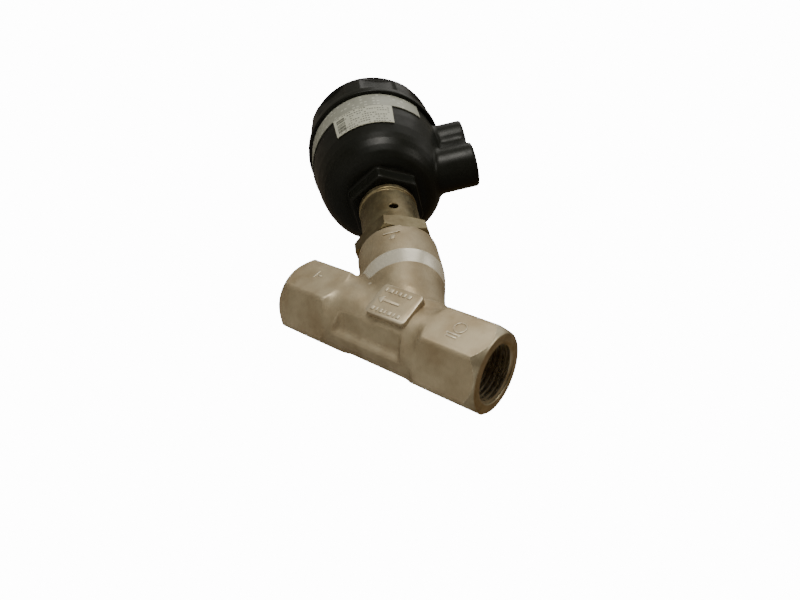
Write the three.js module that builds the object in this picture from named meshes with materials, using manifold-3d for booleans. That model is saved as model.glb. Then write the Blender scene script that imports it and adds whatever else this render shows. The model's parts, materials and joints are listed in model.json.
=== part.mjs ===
// Pneumatic angle-seat valve: a threaded two-way body with a single-acting piston actuator.
// Millimetres. The pipe axis is X with its origin half way between the two ends, and the inlet
// is at +X. The actuator axis starts on the pipe axis at x = axisX and leans 45 degrees towards
// the outlet. Actuator pieces are made in that axis's own frame: z runs up the axis, x points
// to the pilot ports.
import * as THREE from 'three';
import { mergeVertices } from 'three/addons/utils/BufferGeometryUtils.js';
import Module from 'manifold-3d';

const wasm = await Module();
wasm.setup();

// Driving dimensions
const gap = 0.3; // left between pieces that touch
const faceToFace = 85;
const hexFlats = 27;
const hexInnerEnd = 20; // distance from the middle to where a hexagon end starts
const middleRadius = 13.4;
const socketRadius = 9.9; // between the crest and the root of a 1/2 inch pipe thread
const socketDepth = 15.5;
const boreRadius = 7.75;
const axisX = 10.8;
const axisTilt = Math.PI / 4;
const branchRadius = 16;
const branchTop = 47.6;
const branchBore = 12.6;
const chamberRadius = 11;
const seatRadius = 6.75;
const seatTop = 2;
const spindleRadius = 5;
const neckRadius = 12.6;
const neckTop = 84.8;
const spigotRadius = 11;
const housingJoint = 137.6; // where the cover's rim meets the lower housing
const pistonBore = 25.2;
const pistonRadius = 24.7;
const pistonBottom = 105;
const bandRadius = 31.9;
const bandBottom = 124.3;
const foilThickness = 0.4;
const coverRadius = 34;
const portReach = 44.8; // from the actuator axis to the pilot ports' end faces
const portRadius = 10.4;
const portFloor = 34.8; // from the actuator axis to the blind end of a pilot port
const portHeights = [106.8, 131.8];
const gripCount = 8;
const fullTurn = 2 * Math.PI;
const sixth = Math.PI / 3;

const steel = { color: 0x9b917a, roughness: 0.55, metalness: 0.9 };
const turnedSteel = { color: 0x8b8672, roughness: 0.3, metalness: 1 };
const springSteel = { color: 0x77777a, roughness: 0.35, metalness: 1 };
const blackPlastic = { color: 0x23231f, roughness: 0.5, metalness: 0 };
const whiteSeal = { color: 0xe8e6dc, roughness: 0.45, metalness: 0 };
const blackRubber = { color: 0x151515, roughness: 0.7, metalness: 0 };
const greyPlastic = { color: 0x6f7274, roughness: 0.5, metalness: 0 };
const brass = { color: 0xb6985a, roughness: 0.35, metalness: 1 };
const greyLabel = { color: 0xa3a59a, roughness: 0.6, metalness: 0 };
const whiteLabel = { color: 0xc8c8bc, roughness: 0.6, metalness: 0 };
const clearPlastic = { color: 0xd5dde0, roughness: 0.1, metalness: 0 };
const redPlastic = { color: 0xc2410c, roughness: 0.4, metalness: 0 };

// A closed geometry as a solid for joining and cutting.
function toSolid(geometry) {
  const bare = geometry.clone();
  bare.deleteAttribute('normal');
  bare.deleteAttribute('uv');
  const merged = mergeVertices(bare, 1e-4);
  const index = merged.index.array;
  const triangles = [];
  for (let i = 0; i < index.length; i += 3) {
    const [a, b, c] = index.subarray(i, i + 3);
    if (a !== b && b !== c && c !== a) triangles.push(a, b, c);
  }
  const vertProperties = new Float32Array(merged.attributes.position.array);
  const triVerts = new Uint32Array(triangles);
  return new wasm.Manifold(new wasm.Mesh({ numProp: 3, vertProperties, triVerts }));
}

function toGeometry(solid) {
  const { vertProperties, triVerts } = solid.getMesh();
  const geometry = new THREE.BufferGeometry();
  geometry.setAttribute('position', new THREE.BufferAttribute(vertProperties, 3));
  geometry.setIndex(new THREE.BufferAttribute(triVerts, 1));
  return geometry;
}

function join(...geometries) {
  const solids = geometries.map(toSolid);
  return toGeometry(solids.reduce((whole, solid) => whole.add(solid)));
}

function cut(geometry, ...tools) {
  const solids = tools.map(toSolid);
  return toGeometry(solids.reduce((whole, solid) => whole.subtract(solid), toSolid(geometry)));
}

function overlap(first, second) {
  return toGeometry(toSolid(first).intersect(toSolid(second)));
}

// A profile of [radius, height] points turned about Z. It runs anticlockwise: up the outside.
function turned(profile, segments = 12) {
  const points = profile.map(([radius, height]) => new THREE.Vector2(radius, height));
  return new THREE.LatheGeometry(points, segments).rotateX(Math.PI / 2);
}

// The same with a profile that closes on itself, for a piece with a hole through it.
function turnedRing(profile, segments = 12) {
  return turned([...profile, profile[0]], segments);
}

function disc(radius, bottom, top, segments = 12) {
  return turned([[0, bottom], [radius, bottom], [radius, top], [0, top]], segments);
}

function ring(inner, outer, bottom, top, segments = 12) {
  return turnedRing([[inner, bottom], [outer, bottom], [outer, top], [inner, top]], segments);
}

function oRing(middle, thickness, height, segments = 16) {
  const section = [];
  for (let i = 0; i < 6; i += 1) {
    const angle = i * sixth;
    section.push([middle + thickness * Math.cos(angle), height + thickness * Math.sin(angle)]);
  }
  return turnedRing(section, segments);
}

// A hexagon along Z with two of its flats facing -Y and +Y.
function hexagon(acrossFlats, bottom, top) {
  const corner = acrossFlats / Math.sqrt(3);
  const shape = new THREE.Shape().moveTo(corner, 0);
  for (let i = 1; i < 6; i += 1) {
    shape.lineTo(corner * Math.cos(i * sixth), corner * Math.sin(i * sixth));
  }
  const geometry = new THREE.ExtrudeGeometry(shape, { depth: top - bottom, bevelEnabled: false });
  return geometry.translate(0, 0, bottom);
}

function block([x0, y0, z0], [x1, y1, z1]) {
  const geometry = new THREE.BoxGeometry(x1 - x0, y1 - y0, z1 - z0);
  return geometry.translate((x0 + x1) / 2, (y0 + y1) / 2, (z0 + z1) / 2);
}

class Helix extends THREE.Curve {
  constructor(radius, bottom, top, turns) {
    super();
    Object.assign(this, { radius, bottom, top, turns });
  }

  // The end turns lie nearly flat and the pitch opens between them.
  getPoint(t, target = new THREE.Vector3()) {
    const angle = t * this.turns * fullTurn;
    const eased = t - 0.13 * Math.sin(fullTurn * t);
    const height = this.bottom + (this.top - this.bottom) * eased;
    return target.set(this.radius * Math.cos(angle), this.radius * Math.sin(angle), height);
  }
}

function coilSpring(radius, wire, bottom, top, turns, stepsPerTurn = 10) {
  const section = new THREE.Shape().absarc(0, 0, wire, 0, fullTurn);
  const extrudePath = new Helix(radius, bottom + wire, top - wire, turns);
  const steps = turns * stepsPerTurn;
  return new THREE.ExtrudeGeometry(section, { steps, curveSegments: 3, extrudePath });
}

// Turns a shape made along Z so that it lies along +X.
function alongX(geometry) {
  return geometry.rotateY(Math.PI / 2);
}

// Moves a shape from the actuator axis's frame to the part's frame.
function onTiltedAxis(geometry) {
  return geometry.rotateY(-axisTilt).translate(axisX, 0, 0);
}

// The forged bar between the ends: a round middle and two chamfered hexagons.
function bodyBar() {
  const end = faceToFace / 2;
  const hexCorner = hexFlats / Math.sqrt(3);
  const faceRadius = 13.1;
  const endChamfer = 3.5;
  const envelope = turned([
    [0, hexInnerEnd - 1.5],
    [middleRadius - 0.1, hexInnerEnd - 1.5],
    [hexCorner + 0.1, hexInnerEnd + 1.2],
    [hexCorner + 0.1, end - endChamfer],
    [faceRadius, end],
    [0, end],
  ], 20);
  const hexEnd = overlap(hexagon(hexFlats, hexInnerEnd - 2, end), envelope);
  const farEnd = hexEnd.clone().rotateX(Math.PI);
  const middle = disc(middleRadius, -hexInnerEnd, hexInnerEnd, 20);
  return alongX(join(middle, hexEnd, farEnd));
}

// The branch that carries the actuator, with its rounded root inside the bar. It narrows on its
// inlet side as it runs into the bar.
function bodyBranch() {
  const narrowing = 0.18;
  const narrowBottom = 14;
  const narrowTop = 34;
  const branch = turned([
    [0, -2],
    [11.5, -2],
    [13.3, 0],
    [15, 5],
    [15.6, 10],
    [15.9, 15],
    [15.9, 20],
    [branchRadius, 24],
    [branchRadius, 28],
    [branchRadius, narrowTop],
    [branchRadius, branchTop],
    [0, branchTop],
  ], 24);
  const spots = branch.attributes.position;
  for (let i = 0; i < spots.count; i += 1) {
    const full = THREE.MathUtils.smoothstep(spots.getZ(i), narrowBottom, narrowTop);
    const share = 1 - narrowing * (1 - full);
    if (spots.getX(i) > 0) spots.setX(i, spots.getX(i) * share);
  }
  return onTiltedAxis(branch);
}

// Raised plates on both sides of the junction. They lean outwards towards the actuator.
function bodyPlates() {
  const lean = (7.7 * Math.PI) / 180;
  const halfHeight = 6.4;
  const depth = 5;
  const fromPipe = 15.05;
  const near = block([-3, 0, -halfHeight], [13.4, depth, halfHeight]);
  const far = block([-3, -depth, -halfHeight], [13.4, 0, halfHeight]);
  near.rotateX(lean).translate(0, -fromPipe, 0);
  far.rotateX(-lean).translate(0, fromPipe, 0);
  return join(near, far);
}

// A notch along each lower side of the middle: a flat floor and a sloping lower lip. Its section
// is drawn as if it were cut from -Y, as [distance from the pipe axis, height].
function bodyNotches() {
  const floorAngle = (66 * Math.PI) / 180; // from the side towards the underside
  const halfLength = 13;
  const section = [[11.6, 0.6], [13.6, -1.9], [18, -1.9], [18, 12], [11.6, 12]];
  const shape = new THREE.Shape(section.map(([out, up]) => new THREE.Vector2(-up, -out)));
  const notch = new THREE.ExtrudeGeometry(shape, { depth: 2 * halfLength, bevelEnabled: false });
  alongX(notch.translate(0, 0, -halfLength));
  const near = notch.rotateX(floorAngle);
  const far = near.clone().rotateZ(Math.PI);
  return [near, far];
}

function socket(side) {
  const end = faceToFace / 2;
  const profile = [
    [0, end - socketDepth - 5],
    [boreRadius, end - socketDepth - 2],
    [socketRadius, end - socketDepth],
    [socketRadius, end - 0.9],
    [socketRadius + 1, end + 0.1],
    [socketRadius + 1, end + 1],
    [0, end + 1],
  ];
  const shape = turned(profile, 20);
  return side > 0 ? alongX(shape) : alongX(shape.rotateX(Math.PI));
}

// The passages below and above the seat wall, which lies square to the actuator axis.
function bodyPassages() {
  const wallBottom = -1.2;
  const wallTop = seatTop - 0.5;
  const halfSize = 60;
  const run = faceToFace / 2 - socketDepth + 1;
  const below = onTiltedAxis(block([-halfSize, -20, wallBottom - halfSize], [halfSize, 20, wallBottom]));
  const above = onTiltedAxis(block([-halfSize, -20, wallTop], [halfSize, 20, wallTop + halfSize]));
  const pipe = alongX(disc(boreRadius, -run, run, 16));
  const bonnetBore = onTiltedAxis(turned([
    [0, wallTop],
    [chamberRadius, wallTop],
    [chamberRadius, 27],
    [branchBore, 28.6],
    [branchBore, 46.4],
    [14.2, 46.4],
    [14.2, branchTop + 1],
    [0, branchTop + 1],
  ], 20));
  const orifice = onTiltedAxis(disc(seatRadius, -4, seatTop + 1, 16));
  return [overlap(pipe, below), overlap(pipe, above), bonnetBore, orifice];
}

function valveBody() {
  const outside = cut(join(bodyBar(), bodyBranch(), bodyPlates()), ...bodyNotches());
  const hollow = cut(outside, socket(1), socket(-1), ...bodyPassages());
  const seatLip = onTiltedAxis(ring(seatRadius, 8.1, seatTop - 0.8, seatTop, 16));
  return join(hollow, seatLip);
}

// The screwed-in bonnet: a hexagon, the neck tube above it and a spigot for the actuator.
function bonnet() {
  const hexBottom = branchTop + gap;
  const hexTop = 55.4;
  const flats = 29.8;
  const hexTurn = (24 * Math.PI) / 180;
  const weepHoleTurn = (14 * Math.PI) / 180;
  const weepHoleHeight = 67;
  const envelope = turned([
    [0, hexBottom],
    [16, hexBottom],
    [17.3, hexBottom + 0.8],
    [17.3, hexTop - 1.2],
    [15, hexTop],
    [0, hexTop],
  ], 30);
  const hex = overlap(hexagon(flats, hexBottom, hexTop).rotateZ(hexTurn), envelope);
  const tube = turned([
    [0, 36],
    [11.9, 36],
    [12.3, 36.5],
    [12.3, hexBottom + 1],
    [neckRadius, hexBottom + 1],
    [neckRadius, 80.7],
    [12, 81],
    [12, 81.8],
    [12.85, 82.3],
    [12.85, neckTop],
    [spigotRadius, neckTop],
    [spigotRadius, 89.6],
    [9.4, 89.6],
    [9.4, 92.6],
    [spigotRadius, 92.6],
    [spigotRadius, 96.4],
    [10.2, 96.4],
    [10.2, 97.9],
    [spigotRadius, 97.9],
    [spigotRadius, 99.4],
    [0, 99.4],
  ], 20);
  const inside = turned([
    [0, 35],
    [8, 35],
    [8, 59.5],
    [5.6, 59.5],
    [5.6, 62],
    [10.3, 63.5],
    [10.3, 79.5],
    [7, 81.2],
    [7, 82.6],
    [8.3, 82.6],
    [8.3, 100],
    [0, 100],
  ], 16);
  const weepHole = disc(1.9, 5, 15, 10).rotateX(Math.PI / 2).rotateZ(weepHoleTurn);
  weepHole.translate(0, 0, weepHoleHeight);
  return cut(join(hex, tube), inside, weepHole);
}

// The gland screw that closes the packing chamber from below and guides the spindle.
function glandScrew() {
  const head = hexagon(17, 31.6, 35.4);
  const shank = disc(7.7, 31.6, 40);
  return cut(join(head, shank), disc(spindleRadius + gap, 31, 41));
}

const packingInner = spindleRadius + gap;
const packingOuter = 7.7;
const packingMiddle = (packingInner + packingOuter) / 2;

function packingPressureRing() {
  return turnedRing([
    [packingInner, 40.3],
    [packingOuter, 40.3],
    [packingOuter, 42.5],
    [packingMiddle, 43.4],
    [packingInner, 42.5],
  ]);
}

function vRing(bottom) {
  const rise = 0.9;
  const thickness = 1.6;
  return turnedRing([
    [packingInner, bottom],
    [packingMiddle, bottom + rise],
    [packingOuter, bottom],
    [packingOuter, bottom + thickness],
    [packingMiddle, bottom + thickness + rise],
    [packingInner, bottom + thickness],
  ]);
}

function packingSupportRing() {
  return turnedRing([
    [packingInner, 49],
    [packingMiddle, 49.9],
    [packingOuter, 49],
    [packingOuter, 51.4],
    [packingInner, 51.4],
  ]);
}

// The six-sided hub of the lower housing, which stands round the neck.
function housingHub() {
  const flats = 29.9;
  const turn = (29 * Math.PI) / 180;
  const bottom = neckTop + gap;
  const top = 94;
  const envelope = turned([
    [0, bottom],
    [15.9, bottom],
    [17.3, bottom + 1.2],
    [17.3, top],
    [0, top],
  ], 30);
  return overlap(hexagon(flats, bottom, top).rotateZ(turn), envelope);
}

// The lower housing: a bowl with a hub, a cylinder for the piston and two stacked pilot bosses.
function lowerHousing() {
  const outside = turned([
    [0, neckTop + gap],
    [14.4, neckTop + gap],
    [14.6, 92.4],
    [18.6, 92.5],
    [21.4, 93.4],
    [25.6, 97.4],
    [28.4, 103.5],
    [29.8, 109.4],
    [31.1, 118.3],
    [bandRadius, 125.2],
    [bandRadius, housingJoint],
    [29.5, housingJoint],
    [29.5, 140],
    [28, 140],
    [28, 141.9],
    [29.5, 141.9],
    [29.5, 144],
    [0, 144],
  ], 28);
  const inside = turned([
    [0, 80],
    [spigotRadius + gap, 80],
    [spigotRadius + gap, 96.2],
    [14.8, 96.2],
    [14.8, 93.9],
    [20, 95.9],
    [22.6, 98.5],
    [pistonBore, 104],
    [pistonBore, 150],
    [0, 150],
  ], 24);
  const bosses = portHeights.map((height) => pilotBoss(height));
  const rimClearance = disc(coverRadius + 0.5, housingJoint, 150, 28);
  const web = block([20, -6, portHeights[0]], [portReach - 0.6, 6, portHeights[1]]);
  const bores = portHeights.map((height) => alongX(disc(8.3, portFloor, 50, 16)).translate(0, 0, height));
  const lowerWay = alongX(disc(1.6, 20, portFloor + 1, 8)).translate(0, 0, 102.8);
  const upperWay = alongX(disc(1.6, 22, portFloor + 1, 8)).translate(0, 0, portHeights[1]);
  const portBlock = cut(join(web, ...bosses), rimClearance);
  return cut(join(outside, housingHub(), portBlock), inside, ...bores, lowerWay, upperWay);
}

function pilotBoss(height) {
  const edge = 0.8;
  const boss = turned([
    [0, 18],
    [portRadius, 18],
    [portRadius, portReach - edge],
    [portRadius - edge, portReach],
    [0, portReach],
  ], 20);
  return alongX(boss).translate(0, 0, height);
}

function pilotInsert(height) {
  return alongX(ring(5.8, 8, portFloor + gap, portReach - gap, 16)).translate(0, 0, height);
}

// The cover screws onto the housing's spigot. Its side has flat grip recesses above a round rim.
function cover() {
  const rimTop = 142.3;
  const gripDistance = 31.3;
  const gripHalfWidth = 8.3;
  const firstGrip = (-73.3 * Math.PI) / 180;
  const shell = turnedRing([
    [7.9, 154.5],
    [9.4, 154.5],
    [9.4, 158],
    [27.3, 158],
    [27.3, 146],
    [30, 144.4],
    [30, housingJoint + gap],
    [coverRadius - 0.3, housingJoint + gap],
    [coverRadius, 138.4],
    [coverRadius, rimTop],
    [33.4, rimTop + 0.6],
    [33.3, 157.5],
    [31.8, 161.4],
    [29, 162.9],
    [27, 162],
    [13, 162],
    [12.9, 163.6],
    [12.2, 163.6],
    [12.2, 162.8],
    [7.9, 162.8],
  ], 24);
  const recesses = [];
  for (let i = 0; i < gripCount; i += 1) {
    const recess = block([gripDistance, -gripHalfWidth, rimTop + 1.4], [36, gripHalfWidth, 159.4]);
    recesses.push(recess.rotateZ((i * fullTurn) / gripCount + firstGrip));
  }
  return cut(shell, ...recesses);
}

// A strip that follows the housing's side between two angles, counted from the pilot ports.
function wrappedStrip(profile, fromDegrees, toDegrees) {
  const reach = 60;
  const wedge = new THREE.Shape().moveTo(0, 0);
  const steps = 6;
  for (let i = 0; i <= steps; i += 1) {
    const degrees = fromDegrees + ((toDegrees - fromDegrees) * i) / steps;
    const angle = (degrees * Math.PI) / 180;
    wedge.lineTo(reach * Math.cos(angle), reach * Math.sin(angle));
  }
  const prism = new THREE.ExtrudeGeometry(wedge, { depth: 60, bevelEnabled: false });
  return overlap(turnedRing(profile, 36), prism.translate(0, 0, 100));
}

function labelBand() {
  const inner = bandRadius + gap;
  const outer = inner + foilThickness;
  const profile = [[inner, bandBottom], [outer, bandBottom], [outer, 137.3], [inner, 137.3]];
  return wrappedStrip(profile, -320, -40);
}

function typeLabel() {
  const side = [[109.6, 29.85], [118.3, 31.1], [bandBottom - gap, 31.8]];
  const inner = side.map(([height, radius]) => [radius + gap, height]);
  const outer = side.map(([height, radius]) => [radius + gap + foilThickness, height]);
  return wrappedStrip([...outer, ...inner.reverse()], -118.5, -67);
}

function piston() {
  return turnedRing([
    [6, pistonBottom],
    [24.4, pistonBottom],
    [pistonRadius, pistonBottom + 0.4],
    [pistonRadius, 107],
    [22.3, 107],
    [22.3, 111],
    [pistonRadius, 111],
    [pistonRadius, 112.6],
    [23.6, 112.6],
    [23.6, 115.6],
    [pistonRadius, 115.6],
    [pistonRadius, 116.8],
    [21.2, 116.8],
    [21.2, 109.5],
    [8.4, 109.5],
    [8.4, 112.5],
    [4.35, 112.5],
    [4.35, 106.6],
    [6, 106.6],
  ], 20);
}

// A cup seal whose lips point down to the pressurised side.
function pistonLipSeal() {
  return turnedRing([
    [22.55, 107.3],
    [23.1, 107.3],
    [23.5, 109.2],
    [24, 109.2],
    [24.4, 107.3],
    [24.9, 107.3],
    [24.7, 110.7],
    [22.55, 110.7],
  ], 20);
}

function spindleLipSeal() {
  return turnedRing([
    [spindleRadius + 0.15, 90.3],
    [8, 90.3],
    [8, 93.6],
    [7.3, 93.6],
    [6.9, 91.8],
    [6.3, 91.8],
    [5.8, 93.6],
    [spindleRadius + 0.15, 93.6],
  ]);
}

// A snap ring in the spigot's groove: it carries the housing and lets it turn.
function retainingRing() {
  return cut(ring(10.5, 13.2, 96.6, 97.7, 20), block([8, -2, 96], [15, 2, 99]));
}

function spindle() {
  const rod = turned([
    [0, 9.6],
    [4.5, 9.6],
    [spindleRadius, 10.1],
    [spindleRadius, 104.4],
    [4.7, 104.7],
    [4, 104.7],
    [4, 120.6],
    [3.6, 121],
    [0, 121],
  ]);
  return cut(rod, crossHole(1.9));
}

function crossHole(radius) {
  return disc(radius, -12, 12, 10).rotateX(Math.PI / 2).translate(0, 0, 12.8);
}

// The plug hangs loosely on the spindle's pin so that it can square itself on the seat.
function plug() {
  const shape = turned([
    [0, -2.3],
    [2.2, -2.3],
    [2.2, 5.5],
    [9, 5.5],
    [9.3, 5.8],
    [9.3, 8.2],
    [8, 9.4],
    [8, 16],
    [spindleRadius + gap, 16],
    [spindleRadius + gap, 9.3],
    [0, 9.3],
  ], 20);
  return cut(shape, crossHole(1.9));
}

function plugPin() {
  return disc(1.55, -7.6, 7.6, 10).rotateX(Math.PI / 2).translate(0, 0, 12.8);
}

function pistonNut() {
  return cut(hexagon(13, 114.5, 120.4), disc(4 + gap, 114, 121, 16));
}

function plugNut() {
  return cut(hexagon(7, -1.9, 0.3), disc(2.2 + gap, -3, 1, 12));
}

function positionIndicator() {
  return turned([
    [0, 121.3],
    [4, 121.3],
    [4, 124],
    [2.6, 125],
    [2.6, 158],
    [4.6, 159],
    [4.6, 162],
    [3.6, 162.8],
    [0, 162.8],
  ]);
}

function indicatorCap() {
  return turned([
    [0, 174.8],
    [7.4, 174.8],
    [8.2, 174],
    [8.2, 166],
    [6.4, 165.4],
    [6.4, 159.6],
    [7.6, 159.6],
    [7.6, 164.4],
    [11.6, 164.4],
    [11.6, 166.2],
    [10.3, 167],
    [10, 174.2],
    [8.4, 176],
    [0, 176.2],
  ], 20);
}

function mesh(name, geometry, finish) {
  const piece = new THREE.Mesh(geometry, new THREE.MeshStandardMaterial(finish));
  piece.name = name;
  return piece;
}

const valve = new THREE.Group();
valve.add(mesh('valve_body', valveBody(), steel));

const tilted = new THREE.Group();
tilted.position.x = axisX;
tilted.rotation.y = -axisTilt;
valve.add(tilted);

const add = (name, geometry, finish) => tilted.add(mesh(name, geometry, finish));

// Pieces that stay with the valve body
add('bonnet', bonnet(), turnedSteel);
add('body_gasket', ring(12.9, 13.9, 46.7, branchTop, 20), greyPlastic);
add('gland_screw', glandScrew(), turnedSteel);
add('packing_pressure_ring', packingPressureRing(), turnedSteel);
for (let i = 0; i < 3; i += 1) {
  add(`packing_v_ring_${i + 1}`, vRing(43 + 2 * i), whiteSeal);
}
add('packing_support_ring', packingSupportRing(), turnedSteel);
add('packing_spring', coilSpring(6.5, 0.6, 51.7, 59.2, 4), springSteel);
add('guide_bush', ring(spindleRadius + gap, 8, 82.9, 90), brass);
add('spindle_lip_seal', spindleLipSeal(), blackRubber);
add('seal_retainer', ring(5.5, 8, 93.9, 95.4), turnedSteel);
add('neck_o_ring', oRing(10.35, 0.8, 91.1), blackRubber);
add('neck_retaining_ring', retainingRing(), springSteel);

// The actuator's casing, which turns on the bonnet's spigot
add('lower_housing', lowerHousing(), blackPlastic);
portHeights.forEach((height, i) => add(`pilot_insert_${i + 1}`, pilotInsert(height), brass));
add('cover', cover(), blackPlastic);
add('cover_o_ring', oRing(28.85, 0.65, 140.95, 28), blackRubber);
add('outer_spring', coilSpring(17.5, 1.6, 109.8, 157.7, 6), springSteel);
add('inner_spring', coilSpring(11.2, 1.1, 109.8, 157.7, 8), springSteel);
add('indicator_cap', indicatorCap(), clearPlastic);
add('cap_o_ring', oRing(10.2, 0.6, 163.6, 16), blackRubber);
add('label_band', labelBand(), greyLabel);
add('type_label', typeLabel(), whiteLabel);

// The spindle and all that it carries
add('spindle', spindle(), turnedSteel);
add('piston', piston(), greyPlastic);
add('piston_lip_seal', pistonLipSeal(), blackRubber);
add('piston_guide_ring', ring(23.8, 24.9, 112.8, 115.4, 20), whiteSeal);
add('piston_o_ring', oRing(4.95, 0.6, 105.6, 12), blackRubber);
add('piston_washer', ring(4 + gap, 8, 112.8, 114.2), turnedSteel);
add('piston_nut', pistonNut(), turnedSteel);
add('plug', plug(), turnedSteel);
add('plug_pin', plugPin(), springSteel);
add('plug_seal', ring(2.5, 8.7, seatTop + gap, 5.2, 20), whiteSeal);
add('plug_washer', turnedRing([[2.5, 0.6], [5.2, 0.6], [6.1, 2], [2.5, 2]]), turnedSteel);
add('plug_nut', plugNut(), turnedSteel);
add('position_indicator', positionIndicator(), redPlastic);

export default valve;
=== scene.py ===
import json
import math

import bmesh
import bpy
from mathutils import Matrix, Vector

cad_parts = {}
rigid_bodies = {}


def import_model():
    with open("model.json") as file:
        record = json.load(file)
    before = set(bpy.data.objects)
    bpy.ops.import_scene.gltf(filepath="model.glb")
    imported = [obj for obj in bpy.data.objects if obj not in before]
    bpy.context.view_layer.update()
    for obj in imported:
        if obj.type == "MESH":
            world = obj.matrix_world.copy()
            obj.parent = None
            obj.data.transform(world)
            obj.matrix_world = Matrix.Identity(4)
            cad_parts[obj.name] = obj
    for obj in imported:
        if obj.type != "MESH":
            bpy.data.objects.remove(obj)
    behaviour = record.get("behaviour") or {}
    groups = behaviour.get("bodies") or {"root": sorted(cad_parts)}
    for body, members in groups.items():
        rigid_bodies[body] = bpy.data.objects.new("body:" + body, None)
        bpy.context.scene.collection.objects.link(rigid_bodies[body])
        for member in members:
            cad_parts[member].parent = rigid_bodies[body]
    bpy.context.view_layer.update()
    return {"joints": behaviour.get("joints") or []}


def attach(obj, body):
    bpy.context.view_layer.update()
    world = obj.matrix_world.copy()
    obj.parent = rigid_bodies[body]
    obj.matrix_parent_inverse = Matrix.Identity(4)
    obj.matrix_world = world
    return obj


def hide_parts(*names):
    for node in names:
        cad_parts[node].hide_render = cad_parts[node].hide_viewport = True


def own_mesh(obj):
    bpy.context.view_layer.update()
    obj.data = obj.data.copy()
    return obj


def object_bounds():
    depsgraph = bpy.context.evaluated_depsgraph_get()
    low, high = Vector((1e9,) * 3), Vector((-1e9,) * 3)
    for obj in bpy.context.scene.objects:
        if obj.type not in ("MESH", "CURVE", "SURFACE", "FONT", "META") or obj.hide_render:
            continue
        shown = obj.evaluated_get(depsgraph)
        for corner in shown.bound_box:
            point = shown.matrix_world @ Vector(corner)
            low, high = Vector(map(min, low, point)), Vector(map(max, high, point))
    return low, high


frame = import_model()
print("frame loaded")

# Pieces are shaped in millimetres. Those of the actuator are made in a tilted frame, whose z runs
# up the actuator's axis and whose x points to the pilot ports.
joints = {joint["name"]: joint for joint in frame["joints"]}
strokeAxis = Vector(joints["spindle_stroke"]["axis"]).normalized()
axisStart = Vector(joints["actuator_swivel"]["pos_m"])
portWay = Vector((0, 1, 0)).cross(strokeAxis)
tiltTurn = Matrix((portWay, (0, 1, 0), strokeAxis)).transposed().to_4x4()
upAxis = Matrix.Translation(axisStart * 1000) @ tiltTurn  # from the tilted frame to the part's
alongPipe = Matrix.Rotation(math.pi / 2, 4, "Y")  # lays a shape made along z along the pipe
toMetres = Matrix.Scale(0.001, 4)
fullTurn = 2 * math.pi


def cleaned(bm):
    bmesh.ops.remove_doubles(bm, verts=bm.verts, dist=0.0005)
    bmesh.ops.dissolve_degenerate(bm, edges=bm.edges, dist=0.0005)
    bmesh.ops.recalc_face_normals(bm, faces=bm.faces)
    return bm


def profileWire(points, closed, rounding):
    bm = bmesh.new()
    verts = [bm.verts.new((radius, 0, height)) for radius, height in points]
    for pair in zip(verts, verts[1:]):
        bm.edges.new(pair)
    if closed:
        bm.edges.new((verts[-1], verts[0]))
    corners = []
    for vert in verts:
        if len(vert.link_edges) == 2 and vert.calc_edge_angle(0) > 0.3:
            shortest = min(edge.calc_length() for edge in vert.link_edges)
            corners.append((vert, min(rounding, 0.4 * shortest)))
    for vert, offset in corners:
        bmesh.ops.bevel(bm, geom=[vert], offset=offset, offset_type="OFFSET", segments=3,
                        profile=0.5, affect="VERTICES", clamp_overlap=False, material=-1)
    return bm


def turned(points, steps=64, closed=False, rounding=0.25):
    bm = profileWire(points, closed, rounding)
    bmesh.ops.spin(bm, geom=bm.verts[:] + bm.edges[:], cent=(0, 0, 0), axis=(0, 0, 1),
                   dvec=(0, 0, 0), angle=fullTurn, steps=steps, use_merge=True)
    return cleaned(bm)


def disc(radius, bottom, top, steps=64, rounding=0.0005):
    return turned([(0, bottom), (radius, bottom), (radius, top), (0, top)], steps,
                  rounding=rounding)


def ringPoints(inner, outer, bottom, top):
    return [(inner, bottom), (outer, bottom), (outer, top), (inner, top)]


def hexPrism(flats, bottom, top, turn=0.0, edge=0.4):
    bm = bmesh.new()
    corner = flats / math.sqrt(3)
    bmesh.ops.create_cone(bm, cap_ends=True, segments=6, radius1=corner, radius2=corner,
                          depth=top - bottom)
    bmesh.ops.rotate(bm, verts=bm.verts, cent=(0, 0, 0),
                     matrix=Matrix.Rotation(math.pi / 2 + turn, 3, "Z"))
    bmesh.ops.translate(bm, verts=bm.verts, vec=(0, 0, (bottom + top) / 2))
    if edge:
        upright = [e for e in bm.edges if abs(e.verts[0].co.z - e.verts[1].co.z) > 0.1]
        bevelEdges(bm, upright, edge)
    return bm


def bevelEdges(bm, edges, offset, segments=3):
    bmesh.ops.bevel(bm, geom=edges, offset=offset, offset_type="OFFSET", segments=segments,
                    profile=0.5, affect="EDGES", clamp_overlap=True, material=-1)


def box(low, high, edge=0.0):
    bm = bmesh.new()
    bmesh.ops.create_cube(bm, size=1)
    low, high = Vector(low), Vector(high)
    bmesh.ops.scale(bm, verts=bm.verts, vec=high - low)
    bmesh.ops.translate(bm, verts=bm.verts, vec=(low + high) / 2)
    if edge:
        bevelEdges(bm, bm.edges[:], edge)
    return bm


def moved(bm, matrix):
    bm.transform(matrix)
    if matrix.determinant() < 0:
        bmesh.ops.recalc_face_normals(bm, faces=bm.faces)
    return bm


def scratch(bm):
    mesh = bpy.data.meshes.new("scratch")
    bm.to_mesh(mesh)
    bm.free()
    made = bpy.data.objects.new("scratch", mesh)
    bpy.context.scene.collection.objects.link(made)
    return made


def baked(made):
    result = bmesh.new()
    result.from_object(made, bpy.context.evaluated_depsgraph_get())
    for leftover in [o for o in bpy.context.scene.objects if o.name.startswith("scratch")]:
        mesh = leftover.data
        bpy.data.objects.remove(leftover)
        bpy.data.meshes.remove(mesh)
    return result


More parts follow.
